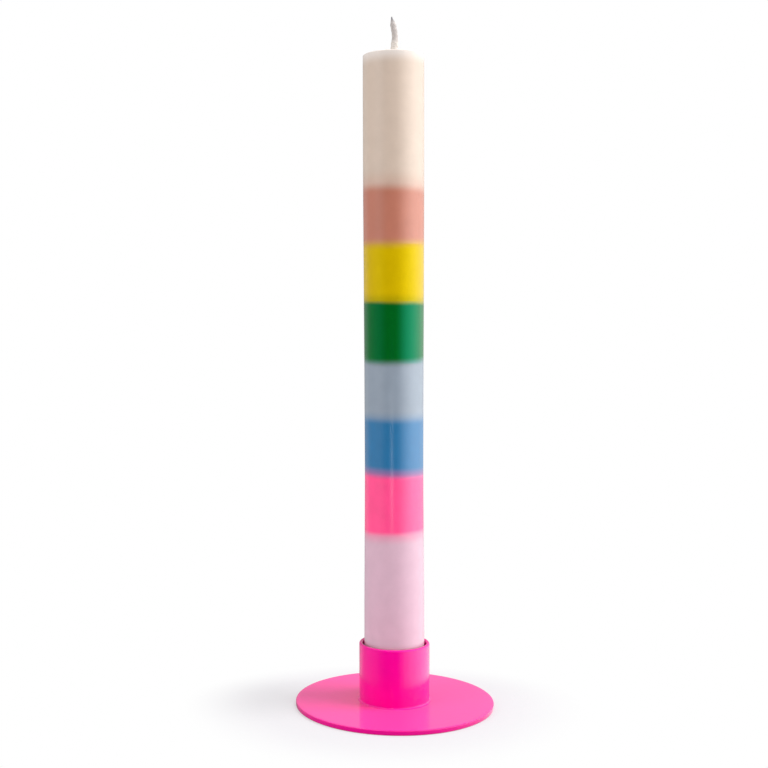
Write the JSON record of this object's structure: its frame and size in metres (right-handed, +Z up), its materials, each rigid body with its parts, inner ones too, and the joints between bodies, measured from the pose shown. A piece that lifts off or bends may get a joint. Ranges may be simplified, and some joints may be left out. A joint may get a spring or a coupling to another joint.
{
  "type": "taper candle in a candle plate",
  "caption": "Straight stick candle in stacked wax colours with a bent cotton wick, standing in a low round metal plate holder with a socket cup.",
  "frame": {"origin": "middle of the plate's flat underside, which stands on the table", "axes": "+Z up along the candle; +X to the right as the picture shows it, in the plane of the wick's bend; -Y towards the viewer"},
  "size_m": [0.0732, 0.0732, 0.2529],
  "materials": {
    "pink_coated_steel": "glossy hot pink powder coat on sheet steel, with a very fine orange peel",
    "rivet_steel": "plain set steel, lightly scuffed",
    "wick_cotton": "plaited cotton, waxed, greyed towards the tip",
    "lilac_wax": "smooth satin wax, slightly translucent",
    "hot_pink_wax": "smooth satin wax, slightly translucent",
    "blue_wax": "smooth satin wax, slightly translucent",
    "grey_blue_wax": "smooth satin wax, slightly translucent",
    "green_wax": "smooth satin wax, slightly translucent",
    "yellow_wax": "smooth satin wax, slightly translucent",
    "salmon_wax": "smooth satin wax, slightly translucent",
    "ivory_wax": "smooth satin wax, translucent at the thin top edge"
  },
  "bodies": {
    "holder": {"candle_plate": "pink_coated_steel", "socket_cup": "pink_coated_steel", "cup_rivet": "rivet_steel"},
    "candle": {"wick": "wick_cotton", "lilac_wax": "lilac_wax", "hot_pink_wax": "hot_pink_wax", "blue_wax": "blue_wax", "grey_blue_wax": "grey_blue_wax", "green_wax": "green_wax", "yellow_wax": "yellow_wax", "salmon_wax": "salmon_wax", "ivory_wax": "ivory_wax"}
  },
  "joints": [
    {"name": "candle_lift", "type": "slide", "parent": "holder", "child": "candle", "axis": [0, 0, 1], "range_m": [0, 0.03]}
  ]
}
